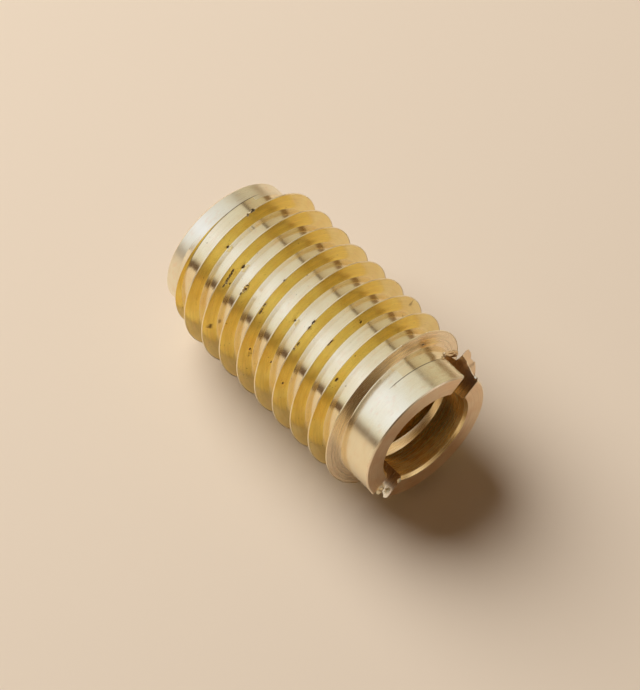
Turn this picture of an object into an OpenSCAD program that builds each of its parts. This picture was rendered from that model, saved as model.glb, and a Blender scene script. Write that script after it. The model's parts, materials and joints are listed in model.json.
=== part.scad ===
// Knife-thread insert: a solid brass sleeve that is screwed into a hole in wood
// and gives it a metal machine thread.
// Frame: the bore axis is +Z, the plain pilot end stands on z = 0 and the slotted
// end is on top. The screwdriver slot runs along Y. Angles are measured from +X.

/* [Sleeve] */
// Length from the pilot end to the slotted end
sleeve_len = 19.2; // [15:0.1:32]
// Diameter of the plain pilot collar, which finds the hole in the wood
pilot_d = 9.3; // [8.8:0.02:9.9]
// Length of the pilot collar, up to the lead-in cone
pilot_len = 1.15; // [0.6:0.05:3]
// Depth of the thread's root below the pilot collar
root_relief = 0.02; // [0:0.01:0.2]
// How far the collar at the slotted end stands above the pilot collar
head_rise = 0.03; // [0:0.01:0.1]
// Length of the collar at the slotted end, down to the thread's shoulder
head_len = 1.85; // [1.2:0.05:4]
// Width of the break on the outer edge of both ends
edge_break = 0.12; // [0.05:0.01:0.3]

/* [Knife thread] */
// Diameter over the thread crests
crest_d = 11.2; // [10.6:0.1:13]
// Width of the land left on the crest
crest_land = 0.035; // [0.02:0.005:0.1]
// Angle between the two flanks of the ridge
flank_angle = 28; // [20:1:45]
// Advance of the thread in one turn
thread_pitch = 1.69; // [1.5:0.01:2.4]
// Angle at which the crest line climbs out of the pilot collar
thread_start = 21; // [0:1:359]
// Angle of the lead-in cone, measured from the axis
lead_angle = 56; // [35:1:70]

/* [Screwdriver slot] */
// Width of the slot
slot_w = 1.8; // [1:0.1:2.6]
// Depth of the slot below the slotted end
slot_depth = 2.1; // [1:0.1:3.2]

/* [Bore] */
// Diameter of the tapped hole over the tips of its thread
tap_d = 5.1; // [4:0.05:5.6]
// Diameter of the counterbore at the slotted end, which clears the screw
counterbore_d = 6.4; // [6:0.05:7.2]
// Depth of the counterbore's straight wall
counterbore_depth = 1.95; // [0.8:0.05:4]
// Angle of the cone that leads from the counterbore into the tapped hole
drill_point = 130; // [90:1:160]
// Width of the chamfer at the counterbore's mouth
mouth_chamfer = 0.18; // [0.05:0.01:0.4]
// Width of the chamfer where the tapped hole opens in the pilot end
exit_chamfer = 0.5; // [0.1:0.05:0.9]

/* [Hidden] */

// Facets of the true round surfaces
ROUND = 96;
// Steps of the helical ridge in one turn
RIDGE_STEPS = 60;
// How far the ridge's base is sunk in the core
RIDGE_SINK = 0.25;
// How far a cutter runs past the surface that it opens
OVERCUT = 0.5;

pilot_r = pilot_d / 2;
core_r = pilot_r - root_relief;
head_r = pilot_r + head_rise;
crest_r = crest_d / 2;
shoulder_z = sleeve_len - head_len;
lead_len = (crest_r - pilot_r) / tan(lead_angle);

// The ridge in section: its flanks would meet at the tip, just outside the land
flank_slope = tan(flank_angle / 2);
ridge_tip_r = crest_r + crest_land / 2 / flank_slope;
ridge_base_r = core_r - RIDGE_SINK;
ridge_base_w = (ridge_tip_r - ridge_base_r) * flank_slope;

// Angles along the helix at which the whole ridge has passed out of the thread's length
first_angle = thread_start - 360 * ridge_base_w / thread_pitch;
last_angle = thread_start + 360 * (shoulder_z + ridge_base_w - pilot_len) / thread_pitch;

tap_r = tap_d / 2;
counterbore_r = counterbore_d / 2;
counterbore_floor_z = sleeve_len - counterbore_depth;
drill_point_len = (counterbore_r - tap_r) / tan(drill_point / 2);

// A turned sleeve, whose middle has its own radius and is reached by a cone
module turned(middle_r, cone_len) {
    rotate_extrude($fn = ROUND)
        polygon([
            [0, 0],
            [pilot_r - edge_break, 0],
            [pilot_r, edge_break],
            [pilot_r, pilot_len],
            [middle_r, pilot_len + cone_len],
            [middle_r, shoulder_z],
            [head_r, shoulder_z],
            [head_r, sleeve_len - edge_break],
            [head_r - edge_break, sleeve_len],
            [0, sleeve_len]
        ]);
}

// One triangular section of the ridge at an angle along the helix
function ridge_ring(a) =
    let (z = pilot_len + thread_pitch * (a - thread_start) / 360)
    [for (p = [[ridge_base_r, -ridge_base_w], [ridge_tip_r, 0], [ridge_base_r, ridge_base_w]])
        [p[0] * cos(a), p[0] * sin(a), z + p[1]]];

// The sharp ridge as one closed helical solid
module ridge() {
    turn = last_angle - first_angle;
    steps = ceil(turn * RIDGE_STEPS / 360);
    rings = [for (i = [0:steps]) ridge_ring(first_angle + turn * i / steps)];
    points = [for (ring = rings) for (p = ring) p];
    sides = [for (i = [0:steps - 1]) for (k = [0:2])
        let (a = 3 * i + k, b = 3 * i + (k + 1) % 3)
        each [[a, b, b + 3], [a, b + 3, a + 3]]];
    ends = [[2, 1, 0], [3 * steps, 3 * steps + 1, 3 * steps + 2]];
    polyhedron(points, concat(sides, ends), convexity = 12);
}

// The knife thread: the ridge as it is left by the lead-in cone, land and shoulder
module knife_thread() {
    intersection() {
        turned(crest_r, lead_len);
        ridge();
    }
}

// The tapped hole, its counterbore and their chamfers
module bore() {
    rotate_extrude($fn = ROUND)
        polygon([
            [0, -OVERCUT],
            [tap_r + exit_chamfer + OVERCUT, -OVERCUT],
            [tap_r, exit_chamfer],
            [tap_r, counterbore_floor_z - drill_point_len],
            [counterbore_r, counterbore_floor_z],
            [counterbore_r, sleeve_len - mouth_chamfer],
            [counterbore_r + mouth_chamfer + OVERCUT, sleeve_len + OVERCUT],
            [0, sleeve_len + OVERCUT]
        ]);
}

// The screwdriver slot across the slotted end
module slot() {
    translate([-slot_w / 2, -crest_r, sleeve_len - slot_depth])
        cube([slot_w, crest_d, slot_depth + OVERCUT]);
}

module insert_sleeve() {
    color([0.80, 0.62, 0.30])
    difference() {
        union() {
            turned(core_r, 0);
            knife_thread();
        }
        bore();
        slot();
    }
}

insert_sleeve();
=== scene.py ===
# %% [markdown]
# # A knife-thread insert, turned from brass
# This insert is screwed into a hole in wood and gives it a metal thread. On the bench it is
# one piece of bar: a lathe turns the outside, a sharp coarse thread is cut along it, the
# inside is drilled and tapped, and a slot is milled across one end for a screwdriver.
# The lesson follows that order. Each step is a mesh operator that does what the tool did.

# %% Load the measured part
import json
import math

import bmesh
import bpy
from mathutils import Matrix, Vector, noise
from mathutils.kdtree import KDTree


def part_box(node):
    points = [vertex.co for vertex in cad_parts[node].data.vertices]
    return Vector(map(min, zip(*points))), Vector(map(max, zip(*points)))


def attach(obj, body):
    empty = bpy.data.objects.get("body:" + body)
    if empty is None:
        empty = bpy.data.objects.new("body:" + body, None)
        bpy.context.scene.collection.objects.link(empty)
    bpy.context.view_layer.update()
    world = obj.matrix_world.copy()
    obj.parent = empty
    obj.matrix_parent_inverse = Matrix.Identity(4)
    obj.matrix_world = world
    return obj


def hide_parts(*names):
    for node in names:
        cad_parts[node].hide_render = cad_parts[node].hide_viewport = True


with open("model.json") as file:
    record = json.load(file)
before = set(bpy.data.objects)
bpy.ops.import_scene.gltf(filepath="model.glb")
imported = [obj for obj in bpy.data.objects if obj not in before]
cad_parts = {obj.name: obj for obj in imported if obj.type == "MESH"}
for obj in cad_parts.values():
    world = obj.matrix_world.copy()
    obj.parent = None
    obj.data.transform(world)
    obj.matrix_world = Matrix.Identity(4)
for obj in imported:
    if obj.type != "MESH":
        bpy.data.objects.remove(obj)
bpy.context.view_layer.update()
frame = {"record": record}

# %% [markdown]
# ## Sizes
# A mesh this small is easier to build in millimetres and to shrink at the end, because many
# operators have a default distance that suits bigger things. The sizes that other parts
# depend on come from the measured part's mounts, so the visible piece can't drift from it.
# The rest are the marks of each tool, written once here.

# %% Sizes in millimetres
MM = 0.001
low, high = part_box("insert_sleeve")
mounts = {mount["name"]: mount for mount in frame["record"]["mounts"]}
sleeve_len = high.z / MM
crest_r = high.x / MM
tap_r = mounts["tapped_hole"]["dims"]["r_mm"]
counterbore_r = mounts["counterbore"]["dims"]["r_mm"]
pilot_r = 4.65
root_r = pilot_r - 0.02
head_r = pilot_r + 0.03
pilot_len = 1.15
shoulder_z = sleeve_len - 1.85
counterbore_floor = sleeve_len - 1.95
slot_w, slot_depth = 1.8, 2.1
edge_break = 0.12
HEAD_BREAK = 0.08
mouth_chamfer = 0.18
exit_chamfer = 0.5
print(f"length {sleeve_len:.2f}, crest radius {crest_r:.2f}, pilot radius {pilot_r:.2f}")

# %% [markdown]
# ## The knife thread
# The ridge on the real part is what a lathe tool leaves between two passes: two nearly
# straight flanks, a crest like a blunt knife and a tiny round at the foot. It could be made
# with a Screw modifier, but then every turn is the same and the first turn can't be thinned.
# A spin with a step upwards does the same job as an operator. One pitch of the outline is
# spun once round the axis, the turn is copied upwards, and the copies are merged, so that
# the grid of faces follows the thread and highlights run along it without a ripple.

# %% The outline of one pitch
pitch = 1.69
thread_start = 21.0
lead_slope = math.tan(math.radians(56))
flank_slope = math.tan(math.radians(28 / 2))
tip_r = crest_r + 0.07
crest_z0 = pilot_len - pitch * thread_start / 360
LAST_CREST = 9
FLANK_CELLS = 5
CREST_ROUND = 0.03
STEPS = 240


def flank_offset(r):
    """Distance along the axis from the crest's line to a flank, at a radius."""
    return (tip_r - r) * flank_slope


def half_outline():
    """Radius and offset of one side of the ridge, from the middle of the root to the crest."""
    foot = flank_offset(root_r)
    points = [(root_r, pitch / 2), (root_r, (pitch / 2 + foot) / 2), (root_r, foot + 0.045)]
    points += [(root_r + 0.008, foot + 0.012), (root_r + 0.045, flank_offset(root_r + 0.045))]
    for i in range(1, FLANK_CELLS + 1):
        r = root_r + 0.045 + (crest_r - CREST_ROUND - root_r - 0.045) * i / FLANK_CELLS
        points.append((r, flank_offset(r)))
    points += [(crest_r - 0.004, 0.042), (crest_r, 0.034)]
    return points


side = half_outline()
outline = [(r, -u) for r, u in side] + [(r, u) for r, u in reversed(side)]
print(len(outline), "points in one pitch; half the foot is", round(flank_offset(root_r), 3))


# %% Spin one turn and stack the copies
def settle(bm):
    """Puts a mesh's points and faces in one fixed order. Spins and bridges make their faces in
    an order that changes from run to run, and later steps would then differ by a hair."""
    in_order = sorted(bm.verts, key=lambda v: v.co[:])
    number = {v: i for i, v in enumerate(in_order)}
    places = [v.co[:] for v in in_order]
    rings = []
    for face in bm.faces:
        ring = [number[v] for v in face.verts]
        start = ring.index(min(ring))
        rings.append(ring[start:] + ring[:start])
    bm.clear()
    points = [bm.verts.new(place) for place in places]
    for ring in sorted(rings):
        bm.faces.new([points[i] for i in ring])
    bm.normal_update()


def stack_turns(points, rise, z0, first, last, steps):
    """A helical surface: points of one pitch, spun once and copied from turn first to last."""
    bm = bmesh.new()
    chain = [bm.verts.new((r, 0, z0 + first * rise + u)) for r, u in points]
    edges = [bm.edges.new(pair) for pair in zip(chain, chain[1:])]
    bmesh.ops.spin(bm, geom=chain + edges, cent=(0, 0, 0), axis=(0, 0, 1), angle=math.tau,
                   dvec=(0, 0, rise / steps), steps=steps, use_merge=False, use_duplicate=False)
    turn = bm.verts[:] + bm.edges[:] + bm.faces[:]
    for k in range(1, last - first + 1):
        copy = bmesh.ops.duplicate(bm, geom=turn)["geom"]
        verts = [e for e in copy if isinstance(e, bmesh.types.BMVert)]
        bmesh.ops.translate(bm, verts=verts, vec=(0, 0, rise * k))
    bmesh.ops.remove_doubles(bm, verts=bm.verts, dist=0.0005)
    settle(bm)
    return bm


FIRST_TURN, LAST_TURN = -1, 10
thread = stack_turns(outline, pitch, crest_z0, FIRST_TURN, LAST_TURN, STEPS)
print(len(thread.verts), "points on", LAST_TURN - FIRST_TURN + 1, "turns")

# %% [markdown]
# ## Where the thread starts and stops
# The blank had a cone at the pilot end before the thread was cut, so the first turn grows out
# of it. A boolean with a cone would do it too, but it cuts across the neat grid. Instead each
# section of the ridge is shortened along its own flanks until it fits under the cone.
# The groove is also a hair deeper than the collars at both ends. Its edge is what makes the
# faint slanting line on the pilot collar and the one under the slotted end. On one side of the
# sleeve, the pilot collar's line and the feet of the flanks are darkened further by painted shade.


# %% Fit the first turn under the cone
def smooth(low_edge, high_edge, x):
    """0 below low_edge, 1 above high_edge and an easy curve between."""
    t = min(1, max(0, (x - low_edge) / (high_edge - low_edge)))
    return t * t * (3 - 2 * t)


def on_helix(co):
    """Angle along the thread, in degrees from turn 0 at +X, and offset from its crest line."""
    phi = math.degrees(math.atan2(co.y, co.x)) % 360
    k = round((co.z - crest_z0) / pitch - phi / 360)
    return phi + 360 * k, co.z - crest_z0 - pitch * (k + phi / 360)


def cone_r(z):
    """Radius of the turned blank, from the pilot collar up the lead-in cone to the crests."""
    return min(crest_r, pilot_r + max(0, z - pilot_len) * lead_slope)


def flank_top(crest_z, way):
    """Radius at which a flank meets the blank; way is -1 on the pilot side, 1 on the other."""
    reach = pilot_r + (crest_z - pilot_len + way * tip_r * flank_slope) * lead_slope
    top = reach / (1 + way * flank_slope * lead_slope)
    if top < pilot_r:
        top = pilot_r
    return min(crest_r, max(root_r, top))


def bare_level(a, u, z):
    """Radius between the ridges: the root of the groove, or a collar that it hasn't reached."""
    foot = flank_offset(root_r)
    cut = smooth(-66, -46, a) if u > foot + 0.006 else smooth(288, 308, a)
    if 20 < a < 300:
        cut = max(cut, smooth(pilot_len, pilot_len + 0.1, z))
    level = pilot_r - (pilot_r - root_r) * cut
    if -60 < a < 16 and abs(u - foot - 0.012) < 0.01:
        level -= 0.035
    round_it = (a + 180) % 360 - 180
    above_last = z - crest_z0 - pitch * (LAST_CREST + round_it / 360)
    if above_last > foot + 0.1:
        level += (head_r - 0.004 - root_r) * smooth(-42, -22, round_it)
    return level


def fit_thread(bm):
    foot = flank_offset(root_r) + 0.05
    for v in bm.verts:
        a, u = on_helix(v.co)
        r, z = math.hypot(v.co.x, v.co.y), v.co.z
        if abs(u) < foot:
            way = 1 if u > 0 else -1
            crest_z = z - u
            t = (r - root_r) / (crest_r - root_r)
            r = root_r + t * (flank_top(crest_z, way) - root_r)
            rounding = abs(u) - flank_offset(root_r + t * (crest_r - root_r))
            rounding *= min(1, max(0, flank_top(crest_z, way) - pilot_r) / (crest_r - pilot_r))
            z = crest_z + way * (flank_offset(r) + rounding)
        r = max(bare_level(a, u, z), min(r, cone_r(z)))
        phi = math.radians(a)
        v.co = (r * math.cos(phi), r * math.sin(phi), z)


fit_thread(thread)
print("thread fitted under the cone")

# %% [markdown]
# ## Close the ends
# A plane cuts the helical surface flat at both ends. At the slotted end that plane is the
# shoulder where the last turn was cut off. The collar and end face of each end are a short
# outline with a full spin, and a bridge joins their open rim to the cut rim of the thread.


# %% Collars by full spins
def full_spin(bm, points, steps):
    """Turns an outline of (radius, z) points into a closed ring of faces; gives its points."""
    before = set(bm.verts)
    chain = [bm.verts.new((r, 0, z)) for r, z in points]
    edges = [bm.edges.new(pair) for pair in zip(chain, chain[1:])]
    bmesh.ops.spin(bm, geom=chain + edges, cent=(0, 0, 0), axis=(0, 0, 1), angle=math.tau,
                   dvec=(0, 0, 0), steps=steps, use_merge=True, use_duplicate=False)
    return [v for v in bm.verts if v not in before]


def rim(bm, z, r_min):
    """The open edges that lie in the plane at height z, outside a radius."""
    return [e for e in bm.edges if e.is_boundary and all(
        abs(v.co.z - z) < 1e-3 and math.hypot(v.co.x, v.co.y) > r_min for v in e.verts)]


pilot_cut = 0.35
for z, outer in ((pilot_cut, False), (shoulder_z, True)):
    for v in thread.verts:
        if abs(v.co.z - z) < 0.005:
            v.co.z = z
    bmesh.ops.remove_doubles(thread, verts=thread.verts, dist=1e-5)
    bmesh.ops.bisect_plane(thread, geom=thread.verts[:] + thread.edges[:] + thread.faces[:],
                           dist=1e-5, plane_co=(0, 0, z), plane_no=(0, 0, 1),
                           clear_outer=outer, clear_inner=not outer)
blank = thread
pilot_rim = rim(blank, pilot_cut, 0)
full_spin(blank, [(0.0, 0), (pilot_r - edge_break, 0), (pilot_r, edge_break),
                  (pilot_r, pilot_cut - 0.02)], STEPS)
lower = rim(blank, pilot_cut - 0.02, 1)
bmesh.ops.bridge_loops(blank, edges=pilot_rim + lower)
head_break = (head_r - HEAD_BREAK, sleeve_len)
SCRATCH = (-0.022, 0, 0.022)
scratch_z = shoulder_z + 0.045
collar_side = [(head_r, shoulder_z + 1e-4)] + [(head_r, scratch_z + dz) for dz in SCRATCH]
collar_side += [(head_r, z) for z in (shoulder_z + 0.9, sleeve_len - HEAD_BREAK)]
for v in full_spin(blank, collar_side + [head_break, (0.0, sleeve_len)], STEPS):
    round_it = math.degrees(math.atan2(v.co.y, v.co.x))
    if abs(v.co.z - scratch_z) < 0.001 and -70 < round_it < -20:
        dip = 0.04 * smooth(-70, -60, round_it) * (1 - smooth(-40, -20, round_it))
        v.co.xy *= 1 - dip / head_r
settle(blank)
bmesh.ops.bridge_loops(blank, edges=rim(blank, shoulder_z, 1))
bmesh.ops.remove_doubles(blank, verts=blank.verts, dist=1e-5)
bmesh.ops.recalc_face_normals(blank, faces=blank.faces[:])
settle(blank)
print("open edges left:", sum(1 for e in blank.edges if not e.is_manifold), "faces:", len(blank.faces))

# %% [markdown]
# ## Chips and dents
# A knife crest is thin, so each knock leaves a nick, and dirt stays in it. The nicks are in the
# mesh, because they break the crest's outline. The grid is too coarse for them, so it is
# subdivided, but only close to each one. Then the points near a nick are pressed inwards.

# %% Where the nicks are
# Turn, angle, radius, half length, half width and depth, on the flank that looks to the slot.
NICKS = [(1, -38.2, 5.54, 0.07, 0.07, 0.12), (1, -42.6, 5.56, 0.16, 0.07, 0.12),
         (2, -5.0, 5.17, 0.12, 0.06, 0.04), (2, -2.9, 5.12, 0.12, 0.06, 0.04),
         (2, -0.8, 5.12, 0.11, 0.06, 0.05), (2, 1.4, 5.10, 0.12, 0.07, 0.05),
         (2, 3.4, 5.09, 0.10, 0.09, 0.05), (2, 5.0, 5.04, 0.08, 0.07, 0.05),
         (2, 7.4, 5.11, 0.13, 0.05, 0.03), (2, -11.8, 4.68, 0.15, 0.06, 0.02),
         (1, -14.2, 4.68, 0.10, 0.05, 0.02), (2, 4.7, 4.74, 0.07, 0.05, 0.02),
         (3, -5.9, 5.53, 0.08, 0.05, 0.05), (3, -1.6, 5.50, 0.16, 0.03, 0.03),
         (3, 1.0, 5.58, 0.10, 0.04, 0.04), (4, -4.2, 5.44, 0.13, 0.05, 0.05),
         (4, -1.4, 5.40, 0.06, 0.03, 0.03), (4, 1.0, 5.40, 0.16, 0.06, 0.06),
         (4, -24, 5.56, 0.10, 0.05, 0.04), (4, 32.4, 4.87, 0.10, 0.07, 0.01),
         (5, -9.9, 4.68, 0.08, 0.05, 0.02), (6, -18, 5.56, 0.15, 0.06, 0.07),
         (6, -13.6, 5.54, 0.14, 0.06, 0.06), (6, -1, 5.40, 0.12, 0.05, 0.03),
         (6, 2.8, 5.47, 0.09, 0.05, 0.05), (7, -16, 5.49, 0.24, 0.04, 0.04),
         (8, -1.3, 5.21, 0.12, 0.09, 0.04), (9, -68, 4.87, 0.16, 0.06, 0.02),
         (7, -42, 5.01, 0.09, 0.08, 0.01), (5, 28.5, 4.72, 0.09, 0.06, 0.01),
         (6, 31, 5.08, 0.08, 0.06, 0.01)]
# Turn, angle, radius, half length, half width and strength of stains that have no depth.
STAINS = [(2, 43, 5.06, 0.24, 0.17, 0.95), (4, 37, 4.76, 0.24, 0.12, 0.8),
          (2, -54, 5.33, 0.34, 0.07, 0.6), (7, -98.8, 5.23, 0.22, 0.18, 0.6)]
BURRS = [(9, -46.5, 0.07), (9, -69, 0.07), (9, -72, 0.08), (6, 44, 0.04), (3, 30, 0.04)]
BENT = (3, -3.0, 0.38)


def on_flank(turn, degrees, r):
    """The point of a ridge's flank at a radius, and the direction along the ridge."""
    phi = math.radians(degrees)
    z = crest_z0 + pitch * (turn + degrees / 360) + flank_offset(r)
    along = Vector((-math.sin(phi) * r, math.cos(phi) * r, pitch / math.tau)).normalized()
    return Vector((r * math.cos(phi), r * math.sin(phi), z)), along


nicks = [(*on_flank(k, phi, r), length, width, depth) for k, phi, r, length, width, depth in NICKS]


def nearness(co, nick):
    """1 in the middle of a nick, 0 at its edge and below 0 outside."""
    centre, along, length, width = nick[:4]
    away = co - centre
    run = away.dot(along)
    return 1 - (run / length) ** 2 - (away.length_squared - run * run) / width ** 2


def edges_round(bm, near):
    """The edges of each face that has a point in near. They keep the mesh's own order,
    because a set's order changes from run to run and the new points would with it."""
    return [e for e in bm.edges if any(not near.isdisjoint(f.verts) for f in e.link_faces)]


def refine(bm, spots, cuts):
    """Subdivides the faces that have a corner near one of the (place, reach) spots."""
    tree = KDTree(len(spots))
    for i, (place, reach) in enumerate(spots):
        tree.insert(place, i)
    tree.balance()
    near = set()
    for v in bm.verts:
        where, i, away = tree.find(v.co)
        if away < spots[i][1]:
            near.add(v)
    met = len(near)
    bmesh.ops.subdivide_edges(bm, edges=edges_round(bm, near), cuts=cuts, use_grid_fill=True)
    settle(bm)
    return met


burrs = [(on_flank(k, phi, crest_r)[0], rise) for k, phi, rise in BURRS]
bent_at = on_flank(BENT[0], BENT[1], crest_r)[0]
spots = [(nick[0], nick[2] + 0.03) for nick in nicks] + [(spot, 0.14) for spot, rise in burrs]
spots += [(bent_at, 0.25)]
print(refine(blank, spots, 3), "points lay near a nick")
blank.normal_update()


# %% Press them in
def press_in(bm):
    moves = []
    for v in bm.verts:
        move = Vector((0, 0, 0))
        rough = 1 + 0.8 * noise.noise(v.co * 9)
        for nick in nicks:
            near = nearness(v.co, nick)
            if near > -1:
                move -= v.normal * nick[4] * rough * smooth(-1, 1, near)
        for spot, rise in burrs:
            away = (v.co - spot).length
            if away < 0.2:
                move += Vector((v.co.x, v.co.y, 0)).normalized() * rise * (1 - smooth(0, 0.09, away))
        away = (v.co - bent_at).length
        r = math.hypot(v.co.x, v.co.y)
        if away < BENT[2] and r > 5.2:
            bend = (1 - smooth(0.1, BENT[2], away)) * smooth(5.2, crest_r, r)
            move += Vector((-0.03, 0, -0.09)) * bend * rough
        moves.append(move)
    for v, move in zip(bm.verts, moves):
        v.co += move


press_in(blank)
print(len(NICKS), "nicks and", len(BURRS), "burrs; points:", len(blank.verts))

# %% [markdown]
# ## What the saw threw up
# A slitting saw pushes metal out of its way. The lips of the slot stand up as burrs: a torn fin
# where it cut the last turn of the thread, thin lips along the collar, and crushed corners at
# the other end. They are pulled out of the blank before the slot is cut, so that the cut
# leaves them with a clean inner side.


# %% Pull up the burrs
def lip(co, side, toward, spread):
    """1 at one wall of the slot, falling to 0 a little way behind it; side is 1 or -1 on x."""
    behind = co.x * side - slot_w / 2
    if co.y * toward < 0 or behind < -0.15 or behind > spread:
        return 0
    return 1 - max(0, behind) / spread


def fin_height(z):
    """The torn end of the thread is highest at the shoulder and runs out towards the end."""
    return 0.55 * (1 - smooth(shoulder_z - 0.1, sleeve_len - 0.3, z))


def beside_slot(v):
    """True for points of the collar next to the slot, with a wider strip where the fin stands."""
    if v.co.z <= shoulder_z - 0.02 or math.hypot(v.co.x, v.co.y) <= head_r - 0.2:
        return False
    strip = 1.9 if v.co.x < 0 > v.co.y else 1.3
    return 0.72 < abs(v.co.x) < strip


def pull_burrs(bm):
    for upright, cuts in ((True, 7), (False, 3)):
        edges = edges_round(bm, {v for v in bm.verts if beside_slot(v)})
        if upright:
            edges = [e for e in edges if abs(e.verts[0].co.z - e.verts[1].co.z) > 0.5]
        bmesh.ops.subdivide_edges(bm, edges=edges, cuts=cuts, use_grid_fill=True)
        settle(bm)
    for v in bm.verts:
        r = math.hypot(v.co.x, v.co.y)
        if v.co.z < shoulder_z - 0.01 or r < head_r - 0.2:
            continue
        torn = noise.noise(v.co * 4.5) + 0.5 * noise.noise(v.co * 13)
        fin = lip(v.co, -1, -1, 1.1) ** 0.5 * fin_height(v.co.z)
        rise = fin * (0.85 + 0.2 * torn)
        rise += 0.03 * lip(v.co, 1, -1, 0.12) * (1 + torn) * smooth(0, 0.15, v.co.z - shoulder_z)
        rise += 0.03 * lip(v.co, -1, 1, 0.10) * (1 + torn)
        crushed = smooth(sleeve_len - 0.6, sleeve_len - 0.2, v.co.z)
        rise += crushed * (0.05 * lip(v.co, 1, 1, 0.3) + 0.10 * lip(v.co, -1, 1, 0.3)) * (1 + torn)
        v.co.xy *= 1 + max(0, rise) / r


pull_burrs(blank)
print("points with burrs:", len(blank.verts))

# %% [markdown]
# ## Drill, tap and slot
# The inside is made the way the shop makes it: a drill, a tap and a slitting saw are closed
# shapes that are taken away from the blank. The tap is the same helical surface as the knife
# thread with a screw's outline. Boolean modifiers do the cutting, and their result is kept
# as plain mesh, because the next steps need the real edges.

# %% The cutting tools
screw_pitch = 1.27
screw_major = 3.175
TAP_STEPS = 96
OVERCUT = 1.0


def close_ends(bm):
    """Fills every open rim and turns the faces outwards."""
    bmesh.ops.holes_fill(bm, edges=[e for e in bm.edges if e.is_boundary], sides=0)
    bmesh.ops.remove_doubles(bm, verts=bm.verts, dist=1e-5)
    bmesh.ops.recalc_face_normals(bm, faces=bm.faces[:])
    settle(bm)
    return bm


def drill():
    cone = (counterbore_r - tap_r) / math.tan(math.radians(130 / 2))
    bm = bmesh.new()
    full_spin(bm, [(0.0, -OVERCUT), (tap_r + exit_chamfer + OVERCUT, -OVERCUT),
                   (tap_r, exit_chamfer), (tap_r, counterbore_floor - cone),
                   (counterbore_r, counterbore_floor), (counterbore_r, sleeve_len - mouth_chamfer),
                   (counterbore_r + mouth_chamfer + OVERCUT, sleeve_len + OVERCUT),
                   (0.0, sleeve_len + OVERCUT)], TAP_STEPS * 2)
    return close_ends(bm)


def tap(phase):
    """A screw's thread as a solid tool: 60 degree flanks and flats on crest and root."""
    land = screw_pitch / 16
    foot = land + (screw_major - tap_r + 0.06) * math.tan(math.radians(30))
    half = [(tap_r - 0.06, screw_pitch / 2), (tap_r - 0.06, foot), (screw_major, land)]
    points = [(r, -u) for r, u in half] + [(r, u) for r, u in reversed(half)]
    z0 = -2 * screw_pitch + screw_pitch * phase
    bm = stack_turns(points, screw_pitch, z0, 0, 15, TAP_STEPS)
    for z, outer in ((-OVERCUT, False), (counterbore_floor + 0.4, True)):
        bmesh.ops.bisect_plane(bm, geom=bm.verts[:] + bm.edges[:] + bm.faces[:], dist=1e-5,
                               plane_co=(0, 0, z), plane_no=(0, 0, 1),
                               clear_outer=outer, clear_inner=not outer)
    return close_ends(bm)


def saw(width, depth):
    bm = bmesh.new()
    bmesh.ops.create_cube(bm, size=1)
    bmesh.ops.scale(bm, verts=bm.verts, vec=(width, 3 * crest_r, depth + OVERCUT))
    bmesh.ops.translate(bm, verts=bm.verts, vec=(0, 0, sleeve_len + (OVERCUT - depth) / 2))
    return bm


# %% Cut them out of the blank
def as_object(name, bm):
    mesh = bpy.data.meshes.new(name)
    bm.to_mesh(mesh)
    bm.free()
    obj = bpy.data.objects.new(name, mesh)
    bpy.context.scene.collection.objects.link(obj)
    return obj


def combine(obj, tool_bm, operation="DIFFERENCE"):
    """Takes a closed shape away from an object, or adds it, and keeps the result as its mesh."""
    tool = as_object("tool", tool_bm)
    modifier = obj.modifiers.new("cut", "BOOLEAN")
    modifier.operation = operation
    modifier.solver = "MANIFOLD"
    modifier.object = tool
    graph = bpy.context.evaluated_depsgraph_get()
    result = bpy.data.meshes.new_from_object(obj.evaluated_get(graph))
    obj.modifiers.clear()
    obj.data = result
    bpy.data.objects.remove(tool)


insert = as_object("brass_insert", blank)
for tool in (drill(), tap(0.6), saw(slot_w, slot_depth)):
    combine(insert, tool)
print("after cutting:", len(insert.data.vertices), "points")

# %% [markdown]
# ## Chips that stuck
# Some of the metal that the saw pushed out hangs on at the corners of the slot. Each chip is a
# ball that noise has crumpled, pressed flat and joined to the body by a union. A union joins
# only what overlaps, so each chip has to reach into the wall. The second one in the list
# doesn't: it is a known fault that it stays loose in the slot, 0.27 mm from the wall.

# %% Crumple the chips and join them
CHIPS = [((0.66, 4.10, 19.17), (0.26, 0.36, 0.20), 20, 1.0),
         ((-0.45, 4.20, 19.12), (0.14, 0.20, 0.14), -30, 4.0),
         ((-0.92, 3.35, 19.12), (0.12, 0.16, 0.10), 0, 7.0),
         ((0.80, -4.36, 17.25), (0.14, 0.36, 0.10), 15, 9.0),
         ((0.10, -4.88, 17.18), (0.80, 0.26, 0.13), 8, 15.0),
         ((-0.93, -4.60, 18.95), (0.06, 0.10, 0.16), 0, 12.0)]


def chip(centre, size, degrees, seed):
    bm = bmesh.new()
    bmesh.ops.create_icosphere(bm, subdivisions=3, radius=1)
    for v in bm.verts:
        swell = 1 + 0.45 * noise.noise(v.co * 1.7 + Vector((seed, 0, 0)))
        v.co *= swell + 0.25 * noise.noise(v.co * 5 + Vector((seed, 0, 0)))
    shape = Matrix.LocRotScale(centre, Matrix.Rotation(math.radians(degrees), 3, "Z"), size)
    bmesh.ops.transform(bm, matrix=shape, verts=bm.verts)
    return bm


for settings in CHIPS:
    combine(insert, chip(*settings), "UNION")
print("with", len(CHIPS), "chips:", len(insert.data.vertices), "points")

# %% [markdown]
# ## Shading
# Turned metal has smooth walls that meet in crisp edges. Every face is shaded smooth, and an
# edge is marked sharp where its two faces turn by more than a small angle.

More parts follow.
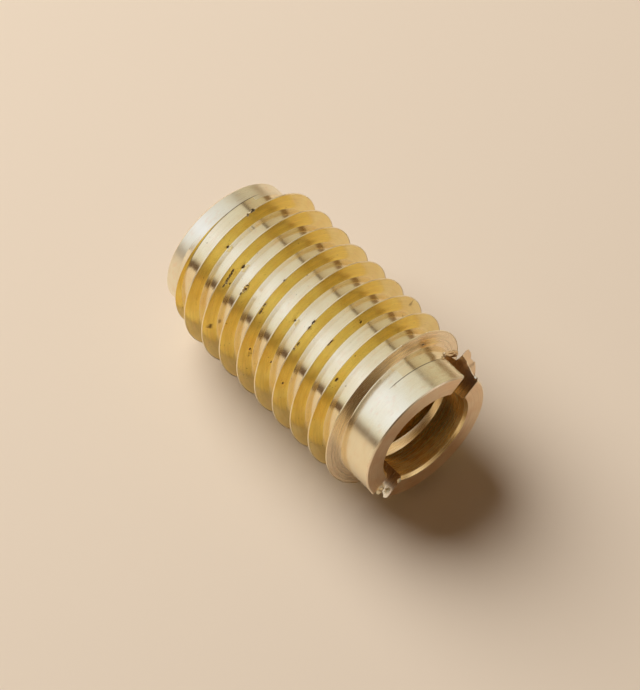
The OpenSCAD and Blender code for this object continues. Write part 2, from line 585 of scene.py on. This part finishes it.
# %% Smooth walls, crisp edges, real size
bm = bmesh.new()
bm.from_mesh(insert.data)
bmesh.ops.remove_doubles(bm, verts=bm.verts, dist=2e-4)
bmesh.ops.dissolve_degenerate(bm, edges=bm.edges, dist=1e-4)
for face in bm.faces:
    face.smooth = True
for edge in bm.edges:
    edge.smooth = edge.calc_face_angle(0) < math.radians(24)
bmesh.ops.scale(bm, verts=bm.verts, vec=(MM, MM, MM))
bm.to_mesh(insert.data)
triangles = sum(len(f.verts) - 2 for f in bm.faces)
print("open edges:", sum(1 for e in bm.edges if not e.is_manifold), "triangles:", triangles)
bm.free()

# %% [markdown]
# ## Dirt in the nicks
# Oil and dust stay in each nick. How much lies on each point is written to the mesh as an
# attribute, so the material can read it. Each nick holds a ragged patch, darker in its middle.

# %% How dirty each point is
def lay_dirt(mesh):
    """Writes the dirt attribute, from 0 to 1, from the list of nicks."""
    tree = KDTree(len(mesh.vertices))
    for i, v in enumerate(mesh.vertices):
        tree.insert(v.co / MM, i)
    tree.balance()
    dirt = [0.0] * len(mesh.vertices)
    for *spot, strength in [(*nick[:4], 1) for nick in nicks] + stains:
        for co, i, away in tree.find_range(spot[0], spot[2] * 1.5):
            ragged = 0.5 * noise.noise(co * 11) + 0.35 * noise.noise(co * 25)
            edge = 0.15 if strength == 1 else 0.8
            dirt[i] = max(dirt[i], strength * smooth(-0.4, edge, nearness(co, spot) + ragged))
    layer = mesh.attributes.new("dirt", "FLOAT", "POINT")
    layer.data.foreach_set("value", dirt)
    return sum(1 for value in dirt if value > 0.1)


stains = [(*on_flank(k, phi, r), length, width, strength)
          for k, phi, r, length, width, strength in STAINS]
print(lay_dirt(insert.data), "points are dirty")

# %% [markdown]
# ## Which tool made which face
# One bar of brass has many finishes, because every tool leaves its own. The lathe leaves fine
# rings, the parting tool a rough copper-brown face, the saw leaves scratches across the slot,
# and the crests are bruised bright. So each face gets a material for the tool that made it.
# A face's place and the way it looks are enough to tell the tool. Three finishes also carry
# painted light: the flanks' deep amber is partly painted shade and warm reflection, the slot's
# dark streaks are partly painted shade, and the pale drill point is a painted highlight.

# %% Sort the faces by tool
FINISHES = ["collar", "pilot", "root", "flank", "back_flank", "shoulder", "crest", "end_face",
            "bore", "cone", "sawn", "edge", "burr"]


def tool_of(c, n):
    """The finish of a face from its centre, in mm, and its normal."""
    r = math.hypot(c.x, c.y)
    outwards = (c.x * n.x + c.y * n.y) / max(r, 1e-6)
    for centre, size, degrees, seed in CHIPS:
        near = math.dist(c, centre) < 1.3 * max(size)
        if near and (c.z > sleeve_len or abs(c.x) < slot_w / 2 - 0.01 and c.z > sleeve_len - 0.4):
            return "burr"
    in_slot = c.z > sleeve_len - slot_depth - 0.01 and abs(c.x) < slot_w / 2 + 0.01
    if in_slot and r > 2.6:
        return "sawn"
    if abs(c.z - counterbore_floor) < 0.4 and r < counterbore_r - 0.002 and n.z > 0.6:
        return "cone"
    if r < counterbore_r + mouth_chamfer + 0.03 and n.z < 0.99 and outwards < 0.2:
        return "bore"
    if r < screw_major + 0.01 and 0.1 < c.z < sleeve_len - 0.1:
        return "bore"
    if abs(n.z) > 0.99:
        return "end_face"
    if c.z < edge_break or c.z > sleeve_len - edge_break:
        return "edge"
    if r > crest_r - CREST_ROUND - 0.002:
        return "crest"
    last_crest = crest_z0 + pitch * (LAST_CREST + math.atan2(c.y, c.x) / math.tau)
    if c.z > shoulder_z + 0.01 and r < head_r + 0.02:
        return "collar"
    if n.z < -0.8:
        return "back_flank"
    if n.z > 0.8:
        return "shoulder" if c.z > last_crest else "flank"
    if c.z > shoulder_z - 0.02 or r > root_r + 0.01 and c.z > last_crest:
        return "collar"
    if r > pilot_r - 0.006 and c.z < pilot_len + 2 * pitch:
        return "pilot"
    return "root"


counts = dict.fromkeys(FINISHES, 0)
insert.data.materials.clear()
for name in FINISHES:
    insert.data.materials.append(None)
for face in insert.data.polygons:
    tool = tool_of(face.center / MM, face.normal)
    face.material_index = FINISHES.index(tool)
    counts[tool] += 1
print("faces by tool:", counts)

# %% [markdown]
# ## Writing nodes
# A material is a small program made of nodes. These helpers keep it readable: each adds one
# node and gives its output, so that a pattern reads like a formula. All patterns start from
# the place on the object in millimetres, and so they don't move when the camera does.


# %% Helpers that add one node
def node(tree, kind, inputs=(), **settings):
    """Adds a node. inputs are pairs of a socket and a number, a colour or another output."""
    made = tree.nodes.new("ShaderNode" + kind)
    for name, value in settings.items():
        setattr(made, name, value)
    for socket, value in inputs:
        if isinstance(value, bpy.types.NodeSocket):
            tree.links.new(value, made.inputs[socket])
        else:
            made.inputs[socket].default_value = value
    return made


def maths(tree, operation, a, b=0.0):
    return node(tree, "Math", ((0, a), (1, b)), operation=operation).outputs[0]


def fade(tree, value, start, end, low=0.0, high=1.0):
    """low where value is below start, high where it is above end, eased between."""
    ends = (("From Min", start), ("From Max", end), ("To Min", low), ("To Max", high))
    made = node(tree, "MapRange", (("Value", value), *ends), interpolation_type="SMOOTHSTEP")
    return made.outputs["Result"]


def paint_over(tree, amount, under, over):
    """One colour over another, by an amount from 0 to 1."""
    made = node(tree, "Mix", (("Factor", amount),), data_type="RGBA")
    for socket, value in zip((6, 7), (under, over)):
        if isinstance(value, bpy.types.NodeSocket):
            tree.links.new(value, made.inputs[socket])
        else:
            made.inputs[socket].default_value = (*value, 1)
    return made.outputs[2]


def grain(tree, vector, detail=2.0):
    """Soft noise from about 0.3 to 0.7, one blot in each millimetre of the vector."""
    made = node(tree, "TexNoise", (("Vector", vector), ("Scale", 1.0), ("Detail", detail)))
    return made.outputs["Fac"]


def stretched(tree, vector, x, y, z):
    scale = ((0, vector), (1, (x, y, z)))
    return node(tree, "VectorMath", scale, operation="MULTIPLY").outputs[0]


# %% Where a point lies on the insert
def places(tree):
    """The point in mm, its radius, its place along the thread and the way it faces round."""
    spot = node(tree, "TexCoord").outputs["Object"]
    point = stretched(tree, spot, 1 / MM, 1 / MM, 1 / MM)
    flat = stretched(tree, point, 1, 1, 0)
    radius = node(tree, "VectorMath", ((0, flat),), operation="LENGTH").outputs["Value"]
    split = node(tree, "SeparateXYZ", (("Vector", point),)).outputs
    turned_by = maths(tree, "MULTIPLY", maths(tree, "ARCTAN2", split["Y"], split["X"]), 1 / math.tau)
    rise = maths(tree, "MULTIPLY", turned_by, pitch)
    along_helix = maths(tree, "SUBTRACT", split["Z"], rise)
    heading = node(tree, "VectorMath", ((0, flat),), operation="NORMALIZE").outputs[0]
    return {"point": point, "radius": radius, "z": split["Z"], "helix": along_helix,
            "heading": heading}


def facing(tree, heading, degrees):
    """1 on the side of the sleeve at an angle from +X, falling to -1 on the other side."""
    way = (math.cos(math.radians(degrees)), math.sin(math.radians(degrees)), 0)
    made = node(tree, "VectorMath", ((0, heading), (1, way)), operation="DOT_PRODUCT")
    return made.outputs["Value"]


def tool_lines(tree, place, across, density, length=0.35):
    """Fine lines left by a cutting edge: noise that is long round the axis and short across."""
    xy = node(tree, "SeparateXYZ", (("Vector", place["point"]),)).outputs
    bits = (("X", maths(tree, "MULTIPLY", xy["X"], length)),
            ("Y", maths(tree, "MULTIPLY", xy["Y"], length)),
            ("Z", maths(tree, "MULTIPLY", place[across], density)))
    return grain(tree, node(tree, "CombineXYZ", bits).outputs[0], 3.0)


# %% [markdown]
# ## Brass, as each tool leaves it
# Brass is a metal with a yellow reflection, so its colour is the shader's base colour and the
# metallic value is 1. The builder below adds what all the finishes share: cloudy tarnish,
# the lines of the tool in colour, in roughness and as a fine bump, and pits with dirt in them.


# %% The shared builder
def brass(name, tone, tarnish, roughness, across="z", density=14.0, lines=0.05, bump=0.12,
          pits=0.0, extra=None):
    """A brass finish. tone and tarnish are two colours that blend in clouds."""
    material = bpy.data.materials.new(name)
    material.use_nodes = True
    tree = material.node_tree
    shader = tree.nodes["Principled BSDF"]
    shader.inputs["Metallic"].default_value = 1
    place = places(tree)
    streaks = tool_lines(tree, place, across, density)
    clouds = grain(tree, stretched(tree, place["point"], 0.9, 0.9, 0.9), 4.0)
    colour = paint_over(tree, fade(tree, clouds, 0.35, 0.7), tone, tarnish)
    rust = grain(tree, stretched(tree, place["point"], 1.7, 1.7, 3.4), 4.0)
    colour = paint_over(tree, fade(tree, rust, 0.5, 0.72, 0, 0.25), colour, RUDDY)
    dark = fade(tree, streaks, 0.36, 0.56, lines, 0.0)
    colour = paint_over(tree, dark, colour, tuple(0.45 * c for c in tarnish))
    rough = fade(tree, streaks, 0.3, 0.7, roughness * 1.15, roughness * 0.88)
    if pits:
        spots = grain(tree, stretched(tree, place["point"], 6, 6, 6), 1.0)
        colour = paint_over(tree, fade(tree, spots, 0.74, 0.78, 0, pits), colour, (0.22, 0.11, 0.05))
    if extra:
        colour, rough = extra(tree, place, colour, rough)
    dirt = node(tree, "Attribute", attribute_name="dirt").outputs["Fac"]
    colour = paint_over(tree, maths(tree, "MULTIPLY", dirt, 0.92), colour, DIRT_AND_SHADE)
    rough = maths(tree, "ADD", rough, maths(tree, "MULTIPLY", dirt, 0.35))
    height = node(tree, "Bump", (("Height", streaks), ("Strength", bump), ("Distance", 0.004 * MM)))
    tree.links.new(colour, shader.inputs["Base Color"])
    tree.links.new(rough, shader.inputs["Roughness"])
    tree.links.new(height.outputs["Normal"], shader.inputs["Normal"])
    return material


RUDDY = (0.90, 0.62, 0.38)
# Dark brown for the dirt in the nicks and the scratch, and for the painted shade line along the
# groove's edge.
DIRT_AND_SHADE = (0.11, 0.06, 0.03)


def scratch(tree, value, middle, half_width):
    """1 where value is at its middle, falling to 0 at half_width from it."""
    off = maths(tree, "ABSOLUTE", maths(tree, "SUBTRACT", value, middle))
    return fade(tree, off, 0.4 * half_width, half_width, 1, 0)


# %% Finishes of the thread
def rubbed_flank(tree, place, colour, rough):
    """Every flank is worn brighter at its top, all the way round."""
    ragged = maths(tree, "ADD", place["radius"],
                   maths(tree, "MULTIPLY", grain(tree, place["point"]), 0.12))
    worn = fade(tree, ragged, crest_r - 0.02, crest_r + 0.07)
    return paint_over(tree, worn, colour, (1.0, 0.90, 0.66)), rough


GROOVE_EDGE = 0.262


def groove_edge_painted_shade(tree, place, colour, rough):
    """Painted shade: a thin dark line along the groove's edge, at the feet of the flanks and on
    the pilot collar, painted only on the side of the sleeve that faces -22 degrees.
    """
    line = scratch(tree, place["helix"], crest_z0 + GROOVE_EDGE, 0.032)
    line = maths(tree, "MULTIPLY", line, fade(tree, facing(tree, place["heading"], -22), 0.7, 0.8))
    return paint_over(tree, maths(tree, "MULTIPLY", line, 0.75), colour, DIRT_AND_SHADE), rough


def marked_collar(tree, place, colour, rough):
    """A turned scratch under the slotted end, on one side only."""
    line = scratch(tree, place["z"], scratch_z, 0.03)
    line = maths(tree, "MULTIPLY", line, fade(tree, facing(tree, place["heading"], -46), 0.9, 0.95))
    return paint_over(tree, maths(tree, "MULTIPLY", line, 0.8), colour, DIRT_AND_SHADE), rough


# How the flanks on the pilot side really look isn't known. Theirs is lighter and rougher than
# the others' because the grooves mirror it, and not because a tool is known to leave it so.
finishes = {
    # The root carries the painted shade line along the groove's edge.
    "root": brass("turned_root", (0.93, 0.82, 0.54), (0.91, 0.77, 0.48), 0.15, "helix",
                  pits=0.5, extra=groove_edge_painted_shade),
    # The flanks' deep amber, far deeper than the roots', is partly painted: it stands in for the shade
    # and the warm reflections inside the grooves.
    "flank": brass("turned_flank_painted_shade", (0.90, 0.73, 0.31), (0.87, 0.67, 0.25), 0.19, "radius",
                   lines=0.12, bump=0.2, pits=0.8, extra=rubbed_flank),
    "shoulder": brass("last_flank", (0.96, 0.82, 0.58), (0.93, 0.76, 0.52), 0.26, "radius",
                      lines=0.3, bump=0.3),
    "back_flank": brass("torn_flank", (1.0, 0.94, 0.56), (1.0, 0.90, 0.48), 0.36, "radius"),
    "crest": brass("bruised_crest", (1.0, 0.90, 0.64), (1.0, 0.84, 0.52), 0.30, "helix"),
}

# %% Finishes of the collars, the ends, the bore and the slot
finishes["collar"] = brass("turned_collar", (0.96, 0.88, 0.64), (0.94, 0.84, 0.58), 0.23,
                           lines=0.02, bump=0.04, extra=marked_collar)
# The pilot collar also carries the painted shade line along the groove's edge.
finishes["pilot"] = brass("turned_pilot", (0.96, 0.90, 0.70), (0.94, 0.86, 0.64), 0.31,
                          lines=0.02, bump=0.04, extra=groove_edge_painted_shade)
finishes["end_face"] = brass("parted_face", (1.0, 0.80, 0.56), (0.95, 0.70, 0.45), 0.36,
                             "radius", lines=0.12, bump=0.3)
finishes["bore"] = brass("drilled_bore", (1.0, 0.80, 0.42), (1.0, 0.72, 0.32), 0.26,
                         lines=0.0, bump=0.02)
# The drill point is near-white brass: a painted highlight that makes the cone at the bottom of the
# bore read bright.
finishes["cone"] = brass("drill_point", (1.0, 0.96, 0.82), (1.0, 0.93, 0.76), 0.14, "radius")
# The slot's darker tarnish and heavy dark streaks show the saw's marks, and are partly painted shade
# that darkens the inside of the slot.
finishes["sawn"] = brass("sawn_slot_painted_shade", (0.90, 0.72, 0.45), (0.70, 0.50, 0.30), 0.24,
                         lines=0.5, bump=0.5, density=9)
finishes["burr"] = brass("torn_chip", (1.0, 0.94, 0.72), (0.98, 0.86, 0.58), 0.32)
finishes["edge"] = brass("broken_edge", (1.0, 0.88, 0.66), (0.98, 0.82, 0.58), 0.30)
for i, name in enumerate(FINISHES):
    insert.data.materials[i] = finishes[name]
print("finishes:", ", ".join(m.name for m in insert.data.materials))
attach(insert, "root")
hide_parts("insert_sleeve")

# %% [markdown]
# ## The floor
# The insert lies on its side, so the floor is a plane that touches its crests. It has one
# plain pale colour for every ray, so the brass shows the same floor that the eye sees.
# It is seen from one side only: from behind it is clear, so that a view from there isn't
# blocked.

# %% Floor
FLOOR_DEG = -39.6
FLOOR_AZIMUTH = math.radians(FLOOR_DEG)
floor_normal = Vector((math.cos(FLOOR_AZIMUTH), math.sin(FLOOR_AZIMUTH), 0))
bm = bmesh.new()
bmesh.ops.create_grid(bm, x_segments=1, y_segments=1, size=0.6)
turn = floor_normal.to_track_quat("Z", "Y").to_matrix().to_4x4()
to_floor = Matrix.Translation(-floor_normal * crest_r * MM) @ turn
bmesh.ops.transform(bm, matrix=to_floor, verts=bm.verts)
floor = as_object("floor", bm)
floor_paint = bpy.data.materials.new("floor_paint")
floor_paint.use_nodes = True
nodes, links = floor_paint.node_tree.nodes, floor_paint.node_tree.links
paint = nodes["Principled BSDF"]
paint.inputs["Roughness"].default_value = 0.7
paint.inputs["Specular IOR Level"].default_value = 0.2
paint.inputs["Base Color"].default_value = (0.80, 0.69, 0.56, 1)
side_of = nodes.new("ShaderNodeNewGeometry")
clear = nodes.new("ShaderNodeBsdfTransparent")
choose = nodes.new("ShaderNodeMixShader")
links.new(side_of.outputs["Backfacing"], choose.inputs["Fac"])
links.new(paint.outputs["BSDF"], choose.inputs[1])
links.new(clear.outputs["BSDF"], choose.inputs[2])
links.new(choose.outputs["Shader"], nodes["Material Output"].inputs["Surface"])
floor.data.materials.append(floor_paint)
print("floor stands at", round(crest_r, 2), "mm from the axis")

# %% [markdown]
# ## Camera
# The camera looks down on the slotted end from a little way round the sleeve, and it is
# turned about its own axis until the sleeve lies slantwise, as it does on a table. A long
# lens from a quarter of a metre keeps the two ends almost the same size.


# %% Camera
def direction(azimuth, elevation):
    """Unit vector for an angle round the sleeve from +X and a height above its ends' planes."""
    a, e = math.radians(azimuth), math.radians(elevation)
    return Vector((math.cos(a) * math.cos(e), math.sin(a) * math.cos(e), math.sin(e)))


back = direction(-15.19, 26.21)
aim = Vector((0.06, 0.45, 9.73)) * MM
eye_distance = 0.27582
eye_roll = 134.2
eye = bpy.data.objects.new("eye", bpy.data.cameras.new("eye"))
bpy.context.scene.collection.objects.link(eye)
look = (-back).to_track_quat("-Z", "Y").to_matrix().to_4x4()
roll = Matrix.Rotation(math.radians(eye_roll), 4, "Z")
eye.matrix_world = Matrix.Translation(aim + back * eye_distance) @ look @ roll
eye.data.sensor_fit = "HORIZONTAL"
eye.data.sensor_width = 36
eye.data.lens = 253.1
bpy.context.scene.camera = eye
print("camera at, mm:", tuple(round(v / MM, 1) for v in eye.matrix_world.translation))

# %% [markdown]
# ## Light
# Metal shows its surroundings, so the light for it is not a lamp but a tent of lit cloth.
# Each panel is a strip of a round tent, made by a spin, and its colour runs from edge to
# edge along a ramp. The gaps between panels, and the dark ends of the ramps, give the dark
# lines that make metal look hard: the dark patches in the grooves are reflections of them.
# The panels show only in the metal. One soft lamp from the same side lights the floor and
# casts the shadow, and the metal doesn't show it.


# %% Panels of lit cloth
def glow(name, stops):
    """Lit cloth whose colour runs through stops of (place from 0 to 1, colour)."""
    cloth = bpy.data.materials.new(name)
    cloth.use_nodes = True
    nodes, links = cloth.node_tree.nodes, cloth.node_tree.links
    nodes.clear()
    out = nodes.new("ShaderNodeOutputMaterial")
    light = nodes.new("ShaderNodeEmission")
    light.inputs["Strength"].default_value = 1
    ramp = nodes.new("ShaderNodeValToRGB")
    points = ramp.color_ramp.elements
    while len(points) < len(stops):
        points.new(0.5)
    for point, (place, colour) in zip(points, stops):
        point.position = place
        point.color = (*colour, 1)
    uv = nodes.new("ShaderNodeUVMap")
    span = nodes.new("ShaderNodeSeparateXYZ")
    links.new(uv.outputs["UV"], span.inputs["Vector"])
    links.new(span.outputs["X"], ramp.inputs["Fac"])
    links.new(ramp.outputs["Color"], light.inputs["Color"])
    links.new(light.outputs["Emission"], out.inputs["Surface"])
    return cloth


TENT_R = 0.45
TENT_STEPS = 24
mid_z = sleeve_len / 2 * MM


def tent_panel(name, azimuths, elevations, stops):
    """A strip of the tent; azimuths are counted from straight above the floor."""
    from_az, to_az = (FLOOR_DEG + a for a in azimuths)
    rise = (elevations[1] - elevations[0]) / TENT_STEPS
    bm = bmesh.new()
    arc = [bm.verts.new(direction(from_az, elevations[0] + rise * i) * TENT_R)
           for i in range(TENT_STEPS + 1)]
    edges = [bm.edges.new(pair) for pair in zip(arc, arc[1:])]
    bmesh.ops.spin(bm, geom=arc + edges, cent=(0, 0, 0), axis=(0, 0, 1), steps=TENT_STEPS,
                   angle=math.radians(to_az - from_az), dvec=(0, 0, 0), use_merge=False,
                   use_duplicate=False)
    uv = bm.loops.layers.uv.new("span")
    for face in bm.faces:
        for corner in face.loops:
            az = math.degrees(math.atan2(corner.vert.co.y, corner.vert.co.x))
            place = (az - from_az + 1) % 360 - 1
            corner[uv].uv = (place / (to_az - from_az), 0.5)
    bmesh.ops.translate(bm, verts=bm.verts, vec=(0, 0, mid_z))
    panel = as_object(name, bm)
    panel.data.materials.append(glow(name, stops))
    panel.visible_diffuse = False
    panel.visible_camera = False
    panel.visible_shadow = False
    return panel


main_cloth = [(0, (0.67, 0.63, 0.56)), (0.28, (0.76, 0.77, 0.82)), (0.53, (0.93, 0.98, 1.2)),
              (0.75, (0.85, 0.87, 0.96)), (0.845, (0.76, 0.74, 0.70)), (0.875, (0.60, 0.54, 0.45)),
              (0.912, (0.13, 0.075, 0.045)), (1, (0.11, 0.06, 0.035))]
side_cloth = [(0, (0.25, 0.16, 0.085)), (0.265, (0.25, 0.16, 0.085)), (0.327, (0.58, 0.51, 0.38)),
              (0.67, (0.58, 0.51, 0.38)), (1, (0.50, 0.42, 0.31))]
rear_cloth = [(0, (0.56, 0.47, 0.37)), (0.14, (0.78, 0.69, 0.62)), (0.29, (0.80, 0.71, 0.65)),
              (0.36, (0.57, 0.49, 0.42)), (0.53, (0.38, 0.30, 0.24)), (0.68, (0.29, 0.22, 0.15)),
              (0.82, (0.18, 0.13, 0.08)), (1, (0.11, 0.06, 0.04))]
tent_panel("main_panel", (-38, 92), (-89.5, 12), main_cloth)
tent_panel("side_panel", (-92, -43), (-89.5, 12), side_cloth)
tent_panel("rear_panel", (-90, 40), (38, 78), rear_cloth)


# %% A soft lamp for the floor, and the room
def soft_lamp(name, azimuth, elevation, distance, size, power, colour):
    data = bpy.data.lights.new(name, "AREA")
    data.shape = "DISK"
    data.size = size
    data.energy = power
    data.color = colour
    shade = bpy.data.objects.new(name, data)
    bpy.context.scene.collection.objects.link(shade)
    way = direction(azimuth, elevation)
    aimed = way.to_track_quat("Z", "Y").to_matrix().to_4x4()
    shade.matrix_world = Matrix.Translation(way * distance + Vector((0, 0, mid_z))) @ aimed
    return shade


wash = soft_lamp("wash", FLOOR_DEG + 9, -44, 0.45, 0.44, 2.8, (1, 0.98, 0.95))
wash.visible_glossy = False
room = bpy.data.worlds.new("room")
bpy.context.scene.world = room
room.use_nodes = True
air = room.node_tree.nodes["Background"]
air.inputs["Color"].default_value = (0.12, 0.075, 0.04, 1)
air.inputs["Strength"].default_value = 1
bpy.context.scene.view_settings.view_transform = "Standard"
print("tent radius", TENT_R, "m; lamp", wash.data.energy, "W")
